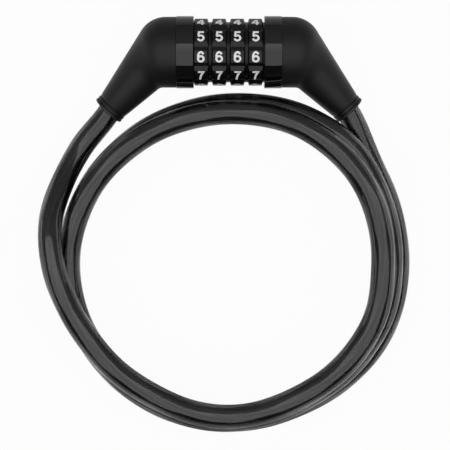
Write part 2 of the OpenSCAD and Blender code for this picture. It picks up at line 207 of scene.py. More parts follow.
def softened(shape: Shape, width: float, above_deg: float = 40.0) -> Shape:
    """Rounds a shape's sharp edges.

    Args:
        shape: The shape.
        width: The width of the rounding.
        above_deg: The angle above which an edge counts as sharp.

    Returns:
        The same shape.
    """
    bmesh.ops.recalc_face_normals(shape, faces=shape.faces)
    limit = math.radians(above_deg)
    sharp = [e for e in shape.edges if len(e.link_faces) == 2 and e.calc_face_angle(0) > limit]
    bmesh.ops.bevel(
        shape, geom=sharp, offset=width, offset_type="OFFSET", segments=3, profile=0.5,
        affect="EDGES", material=-1, clamp_overlap=True,
    )
    return shape


def joined(shapes: Iterable[Shape]) -> Shape:
    """Puts several shapes into one, and frees them.

    Args:
        shapes: The shapes.

    Returns:
        The shape that holds them all.
    """
    whole = bmesh.new()
    for shape in shapes:
        carrier = bpy.data.meshes.new("carrier")
        bmesh.ops.recalc_face_normals(shape, faces=shape.faces)
        shape.to_mesh(carrier)
        shape.free()
        whole.from_mesh(carrier)
        bpy.data.meshes.remove(carrier)
    return whole


def piece_of(shape: Shape, name: str, place: Matrix, material: bpy.types.Material) -> bpy.types.Object:
    """Makes a finished object from a shape.

    Args:
        shape: The shape, which is freed.
        name: The piece's name.
        place: The way from the shape's frame to the scene.
        material: What the piece is made of.

    Returns:
        The object, at the origin with its place in its mesh.
    """
    bmesh.ops.transform(shape, matrix=place, verts=shape.verts)
    bmesh.ops.recalc_face_normals(shape, faces=shape.faces)
    mesh = bpy.data.meshes.new(name)
    shape.to_mesh(mesh)
    shape.free()
    mesh.shade_smooth()
    mesh.set_sharp_from_angle(angle=math.radians(SHARP_DEG))
    mesh.materials.append(material)
    made = bpy.data.objects.new(name, mesh)
    bpy.context.scene.collection.objects.link(made)
    return made


# ---- Wiring ----


class Wiring:
    """A node tree, and short ways to add nodes to it."""

    def __init__(self, tree: bpy.types.NodeTree) -> None:
        """Keeps the tree."""
        self.tree = tree

    def feed(self, socket: Socket, value: Value) -> None:
        """Sets an input.

        Args:
            socket: The input.
            value: Its value, or the socket that gives it.
        """
        if isinstance(value, bpy.types.NodeSocket):
            self.tree.links.new(value, socket)
        else:
            socket.default_value = value

    def node(
        self, kind: str, values: dict[str | int, Value] | None = None, **settings: object
    ) -> bpy.types.Node:
        """Adds a shader node.

        Args:
            kind: Its kind, without the first word that all kinds share.
            values: What its inputs hold or read.
            **settings: Its own settings.

        Returns:
            The node.
        """
        made = self.tree.nodes.new(f"ShaderNode{kind}")
        for label, value in settings.items():
            setattr(made, label, value)
        for label, value in (values or {}).items():
            self.feed(made.inputs[label], value)
        return made

    def math(self, operation: str, *values: Value) -> Socket:
        """Adds a Math node and gives its result."""
        return self.node("Math", dict(enumerate(values)), operation=operation).outputs[0]

    def split(self, vector: Socket) -> bpy.types.NodeOutputs:
        """Splits a vector into its X, Y and Z."""
        return self.node("SeparateXYZ", {0: vector}).outputs

    def noise(self, vector: Value, scale: Value, detail: float, roughness: float = 0.55) -> Socket:
        """Adds a noise texture and gives its factor."""
        values = {"Vector": vector, "Scale": scale, "Detail": detail, "Roughness": roughness}
        return self.node("TexNoise", values).outputs["Fac"]

    def ramp(
        self, value: Value, reach: Sequence[float], ends: Sequence[Value] = (0.0, 1.0), smooth: bool = True
    ) -> Socket:
        """Maps a value from one range to another, and keeps it inside.

        Args:
            value: The value.
            reach: Where its range starts and ends.
            ends: What it gives there.
            smooth: Whether it eases at both ends. Otherwise it goes straight.

        Returns:
            The result.
        """
        labels = ("Value", "From Min", "From Max", "To Min", "To Max")
        kind = "SMOOTHSTEP" if smooth else "LINEAR"
        values = dict(zip(labels, (value, *reach, *ends)))
        return self.node("MapRange", values, interpolation_type=kind).outputs["Result"]


class Effect(Wiring):
    """A shared effect: a group that reads a vector and gives numbers that change over the surface."""

    def __init__(self, name: str, inputs: dict[str, float], outputs: Sequence[str]) -> None:
        """Makes the group's sockets.

        Args:
            name: The group's name.
            inputs: Each number that it is given, with its default.
            outputs: The numbers that it gives.
        """
        super().__init__(bpy.data.node_groups.new(name, "ShaderNodeTree"))
        sockets = self.tree.interface
        sockets.new_socket("Vector", in_out="INPUT", socket_type="NodeSocketVector")
        for label, value in inputs.items():
            made = sockets.new_socket(label, in_out="INPUT", socket_type="NodeSocketFloat")
            made.default_value = value
        for label in outputs:
            sockets.new_socket(label, in_out="OUTPUT", socket_type="NodeSocketFloat")
        self.given = self.tree.nodes.new("NodeGroupInput").outputs
        self.outward = self.tree.nodes.new("NodeGroupOutput").inputs

    def give(self, label: str, value: Socket) -> None:
        """Links a value to one of the group's outputs."""
        self.feed(self.outward[label], value)


class MouldedGrain(Effect):
    """Fine spark-eroded grain, as on a moulded housing."""

    COARSE_SCALE: float = 0.31
    COARSE_WEIGHT: float = 0.8
    SPECK_REACH: Pair = (0.35, 0.68)

    def __init__(self) -> None:
        """Lays fine noise over a coarser one."""
        super().__init__("moulded_grain", {"Scale": 2600.0}, ("Height", "Speck"))
        place, scale = self.given["Vector"], self.given["Scale"]
        fine = self.noise(place, scale, detail=3.0, roughness=0.62)
        coarse = self.noise(place, self.math("MULTIPLY", scale, self.COARSE_SCALE), detail=2.0)
        self.give("Height", self.math("ADD", fine, self.math("MULTIPLY", coarse, self.COARSE_WEIGHT)))
        self.give("Speck", self.ramp(fine, self.SPECK_REACH))


class HandlingMarks(Effect):
    """Smudges and fine hairlines that a hand leaves on a gloss surface."""

    SMUDGE_REACH: Pair = (0.38, 0.72)
    HAIR_REACH: Pair = (0.66, 0.72)
    HAIR_TURN: Triple = (0.4, 0.9, 0.7)
    HAIR_SCALE: Triple = (1.0, 34.0, 34.0)

    def __init__(self) -> None:
        """Cuts smudges out of noise, and hairlines out of stretched noise."""
        super().__init__("handling_marks", {"Scale": 90.0}, ("Smudge", "Hairline"))
        place, scale = self.given["Vector"], self.given["Scale"]
        smudge = self.noise(place, scale, detail=4.0, roughness=0.6)
        self.give("Smudge", self.ramp(smudge, self.SMUDGE_REACH))
        combed = {"Vector": place, "Rotation": self.HAIR_TURN, "Scale": self.HAIR_SCALE}
        lines = self.noise(self.node("Mapping", combed).outputs["Vector"], scale, detail=2.0, roughness=0.5)
        self.give("Hairline", self.ramp(lines, self.HAIR_REACH))


class TurningLines(Effect):
    """The fine rings that a turning tool leaves round the head's axis."""

    DRIFT_SCALE: float = 400.0
    DRIFT: float = 3.0

    def __init__(self) -> None:
        """Makes waves along X that drift a little."""
        super().__init__("turning_lines", {"Pitch": 9000.0}, ("Height",))
        place = self.given["Vector"]
        across = self.math("MULTIPLY", self.split(place)["X"], self.given["Pitch"])
        drift = self.math("MULTIPLY", self.noise(place, self.DRIFT_SCALE, detail=2.0), self.DRIFT)
        self.give("Height", self.math("SINE", self.math("ADD", across, drift)))


class WireLay(Effect):
    """The single wires of a strand, from the place of each point along and across it."""

    def __init__(self) -> None:
        """Winds as many humps as there are wires round the strand."""
        super().__init__("wire_lay", {"Wires": 6.0, "Lay": 9.0}, ("Height",))
        place = self.split(self.given["Vector"])
        turned = self.math("ARCTAN2", place["Z"], place["Y"])
        along = self.math("MULTIPLY", self.math("DIVIDE", place["X"], self.given["Lay"]), math.tau)
        phase = self.math("MULTIPLY", self.math("ADD", turned, along), self.given["Wires"])
        # The size of the sine of half the phase is one round hump for each wire.
        half_wave = self.math("SINE", self.math("MULTIPLY", phase, 0.5))
        self.give("Height", self.math("ABSOLUTE", half_wave))


class SettledDust(Effect):
    """A thin film of dust on what faces up, broken up by noise."""

    UP_REACH: Pair = (0.2, 1.0)
    SPECK_REACH: Pair = (0.55, 0.8)

    def __init__(self) -> None:
        """Cuts specks out of noise where the surface faces up."""
        super().__init__("settled_dust", {"Scale": 700.0}, ("Mask",))
        facing = self.split(self.node("NewGeometry").outputs["Normal"])
        up = self.ramp(facing["Z"], self.UP_REACH)
        specks = self.noise(self.given["Vector"], self.given["Scale"], detail=5.0, roughness=0.7)
        self.give("Mask", self.math("MULTIPLY", up, self.ramp(specks, self.SPECK_REACH)))


@dataclass(frozen=True)
class Effects:
    """The shared effects, each built once."""

    grain: MouldedGrain = field(default_factory=MouldedGrain)
    handling: HandlingMarks = field(default_factory=HandlingMarks)
    turning: TurningLines = field(default_factory=TurningLines)
    wires: WireLay = field(default_factory=WireLay)
    dust: SettledDust = field(default_factory=SettledDust)


class Coat(Wiring):
    """A material's own wiring, round its Principled BSDF."""

    def __init__(self, name: str) -> None:
        """Makes the material and finds its shader.

        Args:
            name: The material's name.
        """
        self.material = bpy.data.materials.new(name)
        self.material.use_nodes = True
        super().__init__(self.material.node_tree)
        self.shader = self.tree.nodes["Principled BSDF"]
        self.outward = self.tree.nodes["Material Output"].inputs

    def shade(self, label: str, value: Value) -> None:
        """Sets one of the shader's inputs."""
        self.feed(self.shader.inputs[label], value)

    def place(self) -> Socket:
        """Gives the Object coordinates."""
        return self.node("TexCoord").outputs["Object"]

    def effect(self, group: Effect, place: Socket | None = None, **values: float) -> bpy.types.NodeOutputs:
        """Places a shared effect, which reads Object coordinates unless it is given others."""
        return self.node("Group", {"Vector": place or self.place(), **values}, node_tree=group.tree).outputs

    def tint(self, mask: Socket, low: Sequence[float], high: Sequence[float]) -> None:
        """Gives the base colour, from low to high as a mask goes from 0 to 1."""
        mixed = self.node("Mix", {"Factor": mask, "A": (*low, 1), "B": (*high, 1)}, data_type="RGBA")
        self.shade("Base Color", mixed.outputs["Result"])

    def gloss(self, mask: Socket, low: float, high: float) -> None:
        """Gives the roughness, from low to high as a mask goes from 0 to 1."""
        self.shade("Roughness", self.ramp(mask, (0.0, 1.0), (low, high), smooth=False))

    def relief(self, height: Socket, depth: float, strength: float) -> None:
        """Gives the surface a relief of a depth in metres."""
        made = self.node("Bump", {"Height": height, "Distance": depth, "Strength": strength})
        self.shade("Normal", made.outputs["Normal"])


# ---- Finishes ----


@dataclass(frozen=True)
class Finish:
    """What the finishes share: a name, a colour and a gloss."""

    name: str
    colour: Triple
    roughness: float
    ior: float = 1.5

    def build(self, effects: Effects) -> bpy.types.Material:
        """Builds the material.

        Args:
            effects: The shared effects.

        Returns:
            The material.
        """
        coat = Coat(self.name)
        coat.shade("Base Color", (*self.colour, 1))
        coat.shade("Roughness", self.roughness)
        coat.shade("IOR", self.ior)
        self.detail(coat, effects)
        return coat.material

    def times(self, factor: float) -> list[float]:
        """Gives the colour, so much lighter or darker."""
        return [c * factor for c in self.colour]

    def detail(self, coat: Coat, effects: Effects) -> None:
        """Adds what changes over the real surface."""
        raise NotImplementedError


@dataclass(frozen=True)
class GrainedPlastic(Finish):
    """Satin moulded plastic with a fine grain."""

    grain_scale: float = 2600.0
    grain_depth: float = 0.00003
    grain_strength: float = 0.35
    speck: float = 1.25
    mark_scale: float = 60.0
    duller: float = 0.03
    glossier: float = 0.04

    def detail(self, coat: Coat, effects: Effects) -> None:
        """Adds the grain, and patches that handling has polished.

        Args:
            coat: The material's wiring.
            effects: The shared effects.
        """
        grain = coat.effect(effects.grain, Scale=self.grain_scale)
        marks = coat.effect(effects.handling, Scale=self.mark_scale)
        coat.tint(grain["Speck"], self.colour, self.times(self.speck))
        coat.gloss(marks["Smudge"], self.roughness + self.duller, self.roughness - self.glossier)
        coat.relief(grain["Height"], self.grain_depth, self.grain_strength)


@dataclass(frozen=True)
class GlossPlastic(Finish):
    """Polished plastic with faint smudges and hairlines."""

    smudge: float = 0.05
    dust: float = 0.004
    hair_depth: float = 0.000004
    hair_strength: float = 0.3

    def detail(self, coat: Coat, effects: Effects) -> None:
        """Adds the smudges, the hairlines and a film of dust.

        Args:
            coat: The material's wiring.
            effects: The shared effects.
        """
        marks = coat.effect(effects.handling)
        film = coat.effect(effects.dust)
        coat.tint(film["Mask"], self.colour, [c + self.dust for c in self.colour])
        coat.gloss(marks["Smudge"], self.roughness, self.roughness + self.smudge)
        coat.relief(marks["Hairline"], self.hair_depth, self.hair_strength)


@dataclass(frozen=True)
class PrintedPaint(Finish):
    """Opaque paint with a faint tooth."""

    tooth_scale: float = 5200.0
    tooth_depth: float = 0.00001
    tooth_strength: float = 0.2
    worn: float = 0.86

    def detail(self, coat: Coat, effects: Effects) -> None:
        """Adds the tooth, with thinner paint in its hollows.

        Args:
            coat: The material's wiring.
            effects: The shared effects.
        """
        grain = coat.effect(effects.grain, Scale=self.tooth_scale)
        coat.tint(grain["Speck"], self.times(self.worn), self.colour)
        coat.relief(grain["Height"], self.tooth_depth, self.tooth_strength)


@dataclass(frozen=True)
class SmokyVinyl(Finish):
    """Smoked clear vinyl."""

    absorbed: float = 850.0
    mark_scale: float = 70.0
    lighter: float = 1.3
    duller: float = 0.03

    def detail(self, coat: Coat, effects: Effects) -> None:
        """Makes it clear, and adds the smudges and the smoke inside.

        Args:
            coat: The material's wiring.
            effects: The shared effects.
        """
        coat.shade("Transmission Weight", 1.0)
        marks = coat.effect(effects.handling, Scale=self.mark_scale)
        coat.tint(marks["Smudge"], self.colour, self.times(self.lighter))
        coat.gloss(marks["Smudge"], self.roughness, self.roughness + self.duller)
        smoke = coat.node("VolumeAbsorption", {"Color": (0.0, 0.0, 0.0, 1), "Density": self.absorbed})
        coat.feed(coat.outward["Volume"], smoke.outputs["Volume"])


@dataclass(frozen=True)
class WireRope(Finish):
    """Galvanised steel wires laid up in strands."""

    # How dark the painted shade in the hollows between the wires is.
    hollow: float = 0.55
    wire_depth: float = 0.00012
    wire_strength: float = 0.4

    def detail(self, coat: Coat, effects: Effects) -> None:
        """Adds the wires, with painted shade in the hollows between them.

        Args:
            coat: The material's wiring.
            effects: The shared effects.
        """
        coat.shade("Metallic", 1.0)
        place = coat.node("Attribute", attribute_name=CABLE_PLACE).outputs["Vector"]
        wires = coat.effect(effects.wires, place)
        # Painted shade: the base colour darkens in the hollows between the wires.
        coat.tint(wires["Height"], self.times(self.hollow), self.colour)
        coat.relief(wires["Height"], self.wire_depth, self.wire_strength)


@dataclass(frozen=True)
class WorkedMetal(Finish):
    """Bare or plated metal with fine turning lines."""

    depth: float = 0.000006
    strength: float = 0.4
    mark_scale: float = 140.0
    stain: float = 0.72
    duller: float = 0.12

    def detail(self, coat: Coat, effects: Effects) -> None:
        """Adds the turning lines and dull stains.

        Args:
            coat: The material's wiring.
            effects: The shared effects.
        """
        coat.shade("Metallic", 1.0)
        lines = coat.effect(effects.turning)
        marks = coat.effect(effects.handling, Scale=self.mark_scale)
        coat.tint(marks["Smudge"], self.colour, self.times(self.stain))
        coat.gloss(marks["Smudge"], self.roughness, self.roughness + self.duller)
        coat.relief(lines["Height"], self.depth, self.strength)


class Surface(Enum):
    """The finishes that the lock's pieces have."""

    ELBOW = GrainedPlastic("elbow_plastic", (0.0045, 0.0045, 0.0046), 0.46, ior=1.385)
    COLLAR = GlossPlastic("collar_gloss", (0.0022, 0.0022, 0.0024), 0.05)
    DIAL = GlossPlastic("dial_plastic", (0.0035, 0.0035, 0.0038), 0.16, ior=1.38, smudge=0.06)
    SPACER = GrainedPlastic("spacer_plastic", (0.002, 0.002, 0.0022), 0.24, ior=1.34)
    GROMMET = GrainedPlastic("grommet_rubber", (0.006, 0.006, 0.0062), 0.5, grain_scale=4200.0)
    PRINT = PrintedPaint("number_paint", (0.92, 0.92, 0.91), 0.4)
    VINYL = SmokyVinyl("cable_vinyl", (0.51, 0.5, 0.5), 0.05, ior=1.55)
    ROPE = WireRope("rope_wire", (0.47, 0.455, 0.45), 0.4)
    CAST = WorkedMetal("cast_zinc", (0.5, 0.5, 0.52), 0.42, depth=0.000002)
    STEEL = WorkedMetal("plated_steel", (0.62, 0.63, 0.65), 0.24)
    BRASS = WorkedMetal("turned_brass", (0.71, 0.55, 0.27), 0.28)


Palette = dict[Surface, bpy.types.Material]


def mixed_palette() -> Palette:
    """Builds every finish, with the effects that they share."""
    effects = Effects()
    return {surface: surface.value.build(effects) for surface in Surface}


# ---- The cable ----


@dataclass(frozen=True)
class LegExit:
    """The cable's way out of an elbow: along the leg, then leaning inward through the soft grommet."""

    mouth: Triple = (-40.5552, -19.6964, 0.0)
    leg_angle: float = math.radians(46.8)
    lean_from: float = 6.0
    lean_r: float = 36.0

    @property
    def way(self) -> Vector:
        """Gives the leg's direction."""
        return Vector((-math.cos(self.leg_angle), -math.sin(self.leg_angle), 0))

    @property
    def inward(self) -> Vector:
        """Gives the direction across the leg, toward the head's middle."""
        return Vector((math.sin(self.leg_angle), -math.cos(self.leg_angle), 0))

    def lean(self, before: float) -> float:
        """Gives how far the cable's line has turned at a distance before the mouth."""
        return max(0.0, self.lean_from - before) / self.lean_r

    def point(self, before: float) -> Vector:
        """Gives the line's point at a distance before the mouth, in the head's frame."""
        aside = self.lean(before) ** 2 * self.lean_r / 2
        return Vector(self.mouth) - self.way * before + self.inward * aside

    def heading(self, before: float) -> Vector:
        """Gives the line's direction there."""
        turn = self.lean(before)
        return self.way * math.cos(turn) + self.inward * math.sin(turn)


@dataclass
class CableRoute:
    """The cable's centre line: out of the left elbow, three loops round, and into the right one.

    Each stop is a turn angle in degrees, counted on from turn to turn, with the radius and height there.
    """

    place: HeadPlace
    left: LegExit = LegExit()
    right: LegExit = LegExit(lean_from=7.2)
    exit_to_end: float = 10.4
    leg_steps: int = 9
    loop_x: float = -2.0
    loop_drop: float = 72.0
    lowest: float = 4.0
    step_deg: float = 1.5
    stops: tuple[Triple, ...] = (
        (140, 62.5, 7), (150, 61, 10), (165, 59, 17.5), (180, 55.5, 20.5), (195, 52, 21.5),
        (210, 49.5, 21.5), (240, 47.5, 21), (270, 48.5, 21), (300, 49, 21), (330, 51.5, 21),
        (345, 52.5, 21), (360, 52.5, 21), (390, 54, 21), (420, 53.5, 19.5), (450, 51.5, 17),
        (480, 51, 14.5), (510, 51.5, 13), (540, 51.5, 12.5), (570, 50.5, 12.5), (600, 50, 12.5),
        (630, 50.5, 12.5), (660, 51, 12.5), (690, 54, 12.5), (705, 55.5, 12.5), (720, 56, 12.5),
        (750, 57.5, 12.5), (765, 58.5, 12.5), (780, 57.5, 11.5), (810, 54.5, 8.5), (840, 53, 6),
        (870, 52.5, 4.5), (900, 52.5, 4), (930, 51.5, 4), (960, 51, 4), (990, 51.5, 4), (1020, 53, 4),
        (1050, 57, 4), (1065, 58.5, 4), (1080, 59, 4), (1110, 60.5, 4), (1120, 62.5, 5),
    )
    whole_turns: int = 3

    def __post_init__(self) -> None:
        """Works out the exits, the stops and their slopes."""
        self.exit_left, self.exit_right = self.inside(Side.LEFT, 0), self.inside(Side.RIGHT, 0)
        turn = self.place.matrix().to_3x3().normalized()
        way_left, way_right = turn @ self.left.heading(0), turn @ self.right.heading(0)
        way_right.x *= -1
        self.middle = Vector((self.loop_x, self.place.axis_y - self.loop_drop, 0))
        first, last = self.polar(self.exit_left, 0), self.polar(self.exit_right, self.whole_turns)
        self.knots = [first, *(Vector(s) for s in self.stops), last]
        pairs = zip(self.knots, self.knots[2:])
        inner = [(after - before) / (after.x - before.x) for before, after in pairs]
        ends = self.slope(self.exit_left, way_left), self.slope(self.exit_right, -way_right)
        self.slopes = [ends[0], *inner, ends[1]]

    def inside(self, side: Side, before: float) -> Vector:
        """Gives the line's point at a distance before an elbow's mouth."""
        leg = self.left if side is Side.LEFT else self.right
        return self.place.matrix(side) @ leg.point(before) / MM

    def polar(self, point: Vector, turns: int) -> Vector:
        """Gives a point's turn angle, radius and height about the loops' middle."""
        out = point - self.middle
        return Vector((math.degrees(math.atan2(out.y, out.x)) + 360 * turns, out.xy.length, point.z))

    def slope(self, point: Vector, way: Vector) -> Vector:
        """Gives how radius and height change with each degree on a line.

        Args:
            point: A point of the line.
            way: The line's direction there.

        Returns:
            The change of the turn angle, which is one, of the radius and of the height.
        """
        out = (point - self.middle).xy
        ray = out.normalized()
        degrees = math.degrees((ray.x * way.y - ray.y * way.x) / out.length)
        return Vector((1.0, (ray.x * way.x + ray.y * way.y) / degrees, way.z / degrees))

    def at(self, angle: float) -> Vector:
        """Gives the centre line's point at a turn angle.

        Args:
            angle: The turn angle in degrees, counted on from turn to turn.

        Returns:
            The point, in millimetres.
        """
        i = max(k for k in range(len(self.knots) - 1) if self.knots[k].x <= angle + 1e-9)
        a, b = self.knots[i], self.knots[i + 1]
        span = b.x - a.x
        u = (angle - a.x) / span
        eased = (
            (2 * u**3 - 3 * u**2 + 1) * a + (u**3 - 2 * u**2 + u) * span * self.slopes[i]
            + (3 * u**2 - 2 * u**3) * b + (u**3 - u**2) * span * self.slopes[i + 1]
        )
        t = math.radians(angle)
        return self.middle + Vector((eased.y * math.cos(t), eased.y * math.sin(t), max(self.lowest, eased.z)))

    def line(self) -> list[Vector]:
        """Gives the whole centre line.

        Returns:
            Its points, from inside the left elbow to inside the right one.
        """
        before = [self.exit_to_end * (1 - k / self.leg_steps) for k in range(self.leg_steps)]
        left = [self.inside(Side.LEFT, b) for b in before]
        right = [self.inside(Side.RIGHT, b) for b in reversed(before)]
        start, span = self.knots[0].x, self.knots[-1].x - self.knots[0].x
        count = round(span / self.step_deg)
        return [*left, *(self.at(start + span * k / count) for k in range(count + 1)), *right]


@dataclass
class Cable:
    """A wire rope of seven strands in a smoked vinyl jacket."""

    route: CableRoute
    palette: Palette
    diameter: float = 8.0
    bore: float = 5.7
    lobes: int = 6
    lobe_height: float = 0.09
    lay: float = 150.0
    outline_sides: int = 48
    strand_d: float = 1.76
    strand_gap: float = 1.02
    strand_sides: int = 12
    length: float = 960.7
    blend_x: float = 38.0

    def __post_init__(self) -> None:
        """Measures the centre line and its directions."""
        self.points = self.route.line()
        last = len(self.points) - 1
        self.along = [0.0]
        for before, after in zip(self.points, self.points[1:]):
            self.along.append(self.along[-1] + (after - before).length)
        self.ways = [
            (self.points[min(i + 1, last)] - self.points[max(i - 1, 0)]).normalized() for i in range(last + 1)
        ]

    def spokes(self, i: int, start: float = 0.0) -> tuple[Vector, Vector]:
        """Gives two directions across the cable, which turn with its right-hand lay.

        Args:
            i: Which point of the line they are at.
            start: Their angle where the line starts.

        Returns:
            The direction at that angle, and the one a quarter turn on.
        """
        right = self.ways[i].cross(Vector((0, 0, 1))).normalized()
        up = right.cross(self.ways[i])
        turn = start - math.tau * self.along[i] / self.lay
        c, s = math.cos(turn), math.sin(turn)
        return c * right + s * up, c * up - s * right

    def frames(self, scale: float) -> list[Matrix]:
        """Gives the frames of the jacket's outline along the cable.

        Args:
            scale: How large the outline is.

        Returns:
            One frame for each point of the line.
        """
        made = []
        for i, point in enumerate(self.points):
            out, onward = self.spokes(i)
            made.append(frame_of(point, out * scale, onward * scale, self.ways[i]))
        return made

    def outline(self) -> list[Vector]:
        """Gives the jacket's outline, which follows the strands a little.

        Returns:
            Its points.
        """
        low = self.diameter / 2 - self.lobe_height
        points = []
        for p in circle(1, self.outline_sides):
            swell = (1 + math.cos(self.lobes * math.atan2(p.y, p.x))) / 2
            points.append(p * (low + self.lobe_height * swell))
        return points

    def jacket(self) -> bpy.types.Object:
        """Makes the jacket.

        Returns:
            A tube with its bore.
        """
        outer, inner = self.frames(1.0), self.frames(self.bore / self.diameter)
        shape = swept(self.outline(), [*outer, *reversed(inner), outer[0]], capped=False)
        made = piece_of(shape, "cable_jacket_vinyl", Matrix.Scale(MM, 4), self.palette[Surface.VINYL])
        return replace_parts(made, "cable_jacket")

    def strand(self, start: float, reach: float) -> Shape:
        """Makes one strand, with the place of each point along and across it.

        Args:
            start: The strand's angle round the rope where the line starts.
            reach: The distance of its middle from the rope's.

        Returns:
            The strand's shape.
        """
        frames = []
        for i, point in enumerate(self.points):
            out, onward = self.spokes(i, start)
            way = (self.ways[i] - onward * reach * math.tau / self.lay).normalized()
            frames.append(frame_of(point + out * reach, out, way.cross(out).normalized(), way))
        return swept(circle(self.strand_d / 2, self.strand_sides), frames, along=self.along)

    def rope(self) -> bpy.types.Object:
        """Makes the rope.

        Returns:
            Six strands laid round a seventh.
        """
        reach = self.strand_d * self.strand_gap
        round_it = [self.strand(math.tau * (k + 0.5) / self.lobes, reach) for k in range(self.lobes)]
        shape = joined([self.strand(0.0, 0.0), *round_it])
        made = piece_of(shape, "cable_rope_strands", Matrix.Scale(MM, 4), self.palette[Surface.ROPE])
        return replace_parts(made, "cable_rope")

    def build(self) -> None:
        jacket, rope = self.jacket(), self.rope()
        for piece, slot in ((jacket, "cable_jacket"), (rope, "steel_rope")):
            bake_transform(piece)
            LOG.info("%s: %d faces", piece.name, len(piece.data.polygons))


# ---- The head ----


@dataclass
class HeadPart:
    """A sub-assembly of the head, made as it lies in the left half."""

    place: HeadPlace
    palette: Palette
    side: Side

    def fit(self, shape: Shape, name: str, surface: Surface, slot: str, *nodes: str, body: str = "") -> None:
        """Makes a piece, and puts it on its body, in place of its CAD nodes.

        Args:
            shape: The piece's shape, which is freed.
            name: The piece's name.
            surface: Its finish.
            slot: Not used.
            *nodes: The CAD nodes that it stands for.
            body: The body that it rides on, where that isn't its half's.
        """
        made = piece_of(shape, name, self.place.matrix(self.side), self.palette[surface])
        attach(made, body or self.side.body)
        if nodes:
            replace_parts(made, *nodes)
        LOG.info("%s: %d faces on %s", name, len(made.data.polygons), body or self.side.body)


